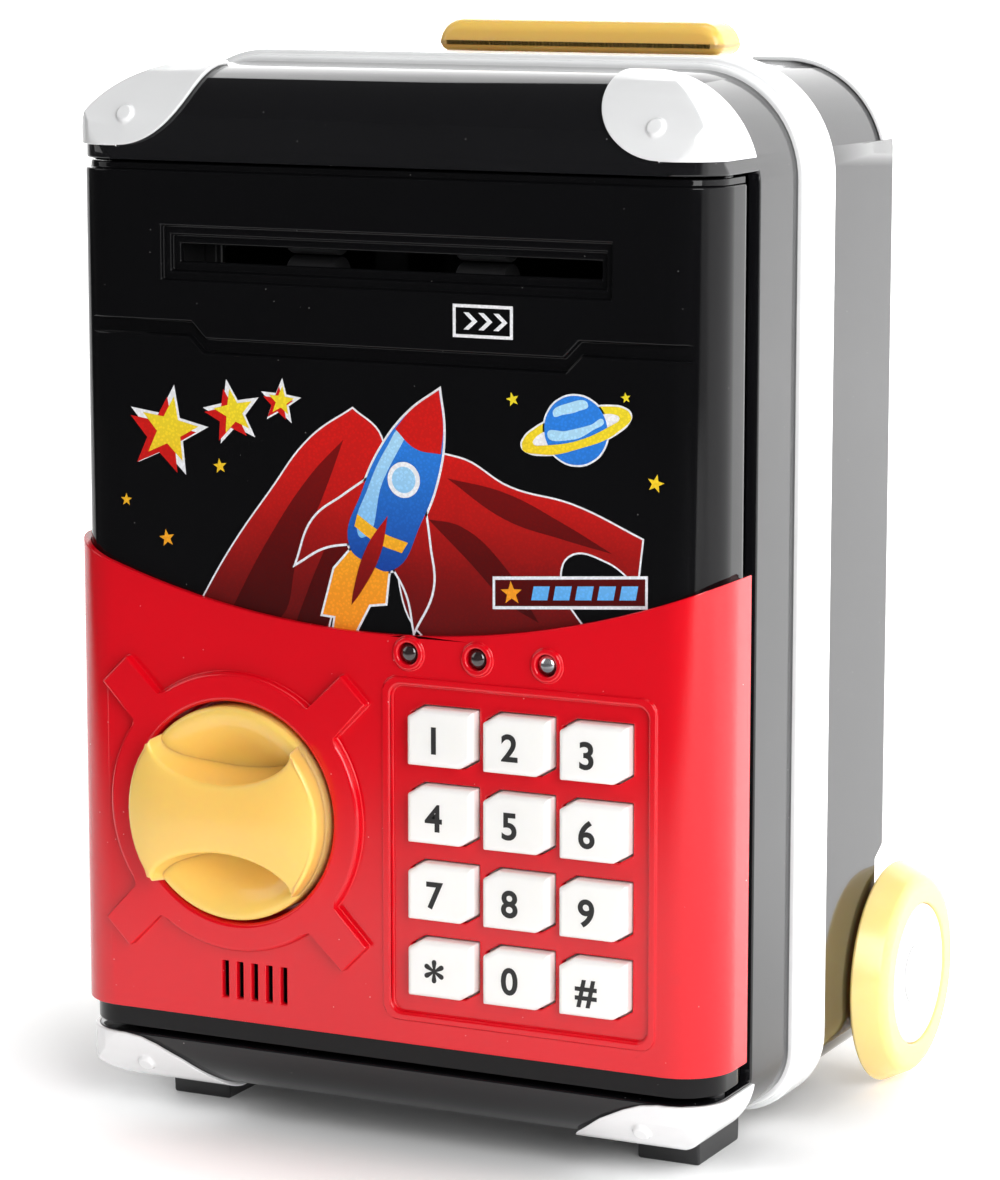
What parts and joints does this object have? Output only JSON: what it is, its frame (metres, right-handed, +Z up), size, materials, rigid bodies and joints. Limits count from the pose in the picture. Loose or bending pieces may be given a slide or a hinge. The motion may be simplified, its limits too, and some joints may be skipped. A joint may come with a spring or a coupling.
{
  "type": "toy atm savings bank",
  "caption": "Suitcase-shaped toy cash machine bank: keypad door with a dial latch, note slot with feed rollers, rear wheels and a pull handle.",
  "frame": {"origin": "on the table, within 1 mm of the point under the overall box's centre", "axes": "+X to the viewer's right, -Y out of the front, +Z up"},
  "size_m": [0.1504, 0.1262, 0.2152],
  "materials": {
    "black_gloss": "high gloss moulded",
    "black_plain": "satin moulded",
    "white_gloss": "gloss moulded",
    "key_white": "satin moulded with printed numerals",
    "red_gloss": "high gloss moulded",
    "yellow_gloss": "gloss moulded, slightly translucent",
    "yellow_tyre": "satin moulded",
    "steel": "drawn bright",
    "grip_rubber": "ground matte",
    "mat_rubber": "matte silicone",
    "brass": "cut",
    "cell_wrap": "shrink sleeve",
    "board_green": "solder mask",
    "speaker_dark": "paper cone and steel can",
    "lamp_smoky": "clear smoky epoxy"
  },
  "bodies": {
    "case": {"front_shell": "black_gloss", "mid_rim": "white_gloss", "rear_shell": "black_gloss", "corner_guard_top_left": "white_gloss", "corner_guard_top_right": "white_gloss", "corner_guard_bottom_left": "white_gloss", "corner_guard_bottom_right": "white_gloss", "rear_guard_left": "white_gloss", "rear_guard_right": "white_gloss", "foot_left": "black_plain", "foot_right": "black_plain", "hinge_pin_top": "steel", "hinge_pin_bottom": "steel", "latch_keeper": "steel", "rear_axle": "steel", "handle_housing": "black_plain", "case_screws": "steel"},
    "door": {"door_shell": "black_gloss", "lower_cover": "red_gloss", "door_back_cover": "black_plain", "battery_cover": "black_plain", "batteries": "cell_wrap", "battery_contacts": "steel", "circuit_board": "board_green", "keypad_mat": "mat_rubber", "speaker": "speaker_dark", "led_left": "lamp_smoky", "led_middle": "lamp_smoky", "led_right": "lamp_smoky", "feed_motor": "steel", "feed_bracket": "black_plain", "door_screws": "steel"},
    "dial": {"dial_knob": "yellow_gloss", "latch_cam": "steel", "cam_screw": "steel"},
    "key_1_cap": {"key_1": "key_white"},
    "key_2_cap": {"key_2": "key_white"},
    "key_3_cap": {"key_3": "key_white"},
    "key_4_cap": {"key_4": "key_white"},
    "key_5_cap": {"key_5": "key_white"},
    "key_6_cap": {"key_6": "key_white"},
    "key_7_cap": {"key_7": "key_white"},
    "key_8_cap": {"key_8": "key_white"},
    "key_9_cap": {"key_9": "key_white"},
    "key_star_cap": {"key_star": "key_white"},
    "key_0_cap": {"key_0": "key_white"},
    "key_hash_cap": {"key_hash": "key_white"},
    "feed_roller": {"feed_shaft": "steel", "feed_tyres": "grip_rubber"},
    "idler": {"idler_roller": "black_plain"},
    "pinion": {"motor_pinion": "brass"},
    "wheel_left": {"tyre_left": "yellow_tyre", "hub_cap_left": "white_gloss"},
    "wheel_right": {"tyre_right": "yellow_tyre", "hub_cap_right": "white_gloss"},
    "handle": {"handle_grip": "yellow_gloss", "handle_tube_left": "steel", "handle_tube_right": "steel"}
  },
  "joints": [
    {"name": "door_hinge", "type": "hinge", "parent": "case", "child": "door", "pos_m": [0.0635, -0.04, 0.1039], "axis": [0, 0, 1], "range_deg": [0, 95]},
    {"name": "dial_turn", "type": "hinge", "parent": "door", "child": "dial", "pos_m": [-0.031, -0.0515, 0.0651], "axis": [0, 1, 0], "range_deg": [0, 90]},
    {"name": "key_1_press", "type": "slide", "parent": "door", "child": "key_1_cap", "axis": [0, 1, 0], "range_m": [0, 0.0015], "stiffness_N_per_m": 300},
    {"name": "key_2_press", "type": "slide", "parent": "door", "child": "key_2_cap", "axis": [0, 1, 0], "range_m": [0, 0.0015], "stiffness_N_per_m": 300},
    {"name": "key_3_press", "type": "slide", "parent": "door", "child": "key_3_cap", "axis": [0, 1, 0], "range_m": [0, 0.0015], "stiffness_N_per_m": 300},
    {"name": "key_4_press", "type": "slide", "parent": "door", "child": "key_4_cap", "axis": [0, 1, 0], "range_m": [0, 0.0015], "stiffness_N_per_m": 300},
    {"name": "key_5_press", "type": "slide", "parent": "door", "child": "key_5_cap", "axis": [0, 1, 0], "range_m": [0, 0.0015], "stiffness_N_per_m": 300},
    {"name": "key_6_press", "type": "slide", "parent": "door", "child": "key_6_cap", "axis": [0, 1, 0], "range_m": [0, 0.0015], "stiffness_N_per_m": 300},
    {"name": "key_7_press", "type": "slide", "parent": "door", "child": "key_7_cap", "axis": [0, 1, 0], "range_m": [0, 0.0015], "stiffness_N_per_m": 300},
    {"name": "key_8_press", "type": "slide", "parent": "door", "child": "key_8_cap", "axis": [0, 1, 0], "range_m": [0, 0.0015], "stiffness_N_per_m": 300},
    {"name": "key_9_press", "type": "slide", "parent": "door", "child": "key_9_cap", "axis": [0, 1, 0], "range_m": [0, 0.0015], "stiffness_N_per_m": 300},
    {"name": "key_star_press", "type": "slide", "parent": "door", "child": "key_star_cap", "axis": [0, 1, 0], "range_m": [0, 0.0015], "stiffness_N_per_m": 300},
    {"name": "key_0_press", "type": "slide", "parent": "door", "child": "key_0_cap", "axis": [0, 1, 0], "range_m": [0, 0.0015], "stiffness_N_per_m": 300},
    {"name": "key_hash_press", "type": "slide", "parent": "door", "child": "key_hash_cap", "axis": [0, 1, 0], "range_m": [0, 0.0015], "stiffness_N_per_m": 300},
    {"name": "feed_spin", "type": "hinge", "parent": "door", "child": "feed_roller", "pos_m": [0, -0.0445, 0.17755], "axis": [1, 0, 0], "continuous": true},
    {"name": "idler_spin", "type": "hinge", "parent": "door", "child": "idler", "pos_m": [0, -0.0445, 0.16855], "axis": [1, 0, 0], "continuous": true},
    {"name": "pinion_spin", "type": "hinge", "parent": "door", "child": "pinion", "pos_m": [0, -0.0445, 0.16075], "axis": [1, 0, 0], "continuous": true},
    {"name": "wheel_left_spin", "type": "hinge", "parent": "case", "child": "wheel_left", "pos_m": [-0.0717, 0.0396, 0.0226], "axis": [1, 0, 0], "continuous": true},
    {"name": "wheel_right_spin", "type": "hinge", "parent": "case", "child": "wheel_right", "pos_m": [0.0717, 0.0396, 0.0226], "axis": [1, 0, 0], "continuous": true},
    {"name": "handle_slide", "type": "slide", "parent": "case", "child": "handle", "axis": [0, 0, 1], "range_m": [0, 0.06]}
  ],
  "couplings": [
    {"joint": "idler_spin", "follows": "feed_spin", "ratio": -1.1429},
    {"joint": "pinion_spin", "follows": "feed_spin", "ratio": 1.3333}
  ]
}
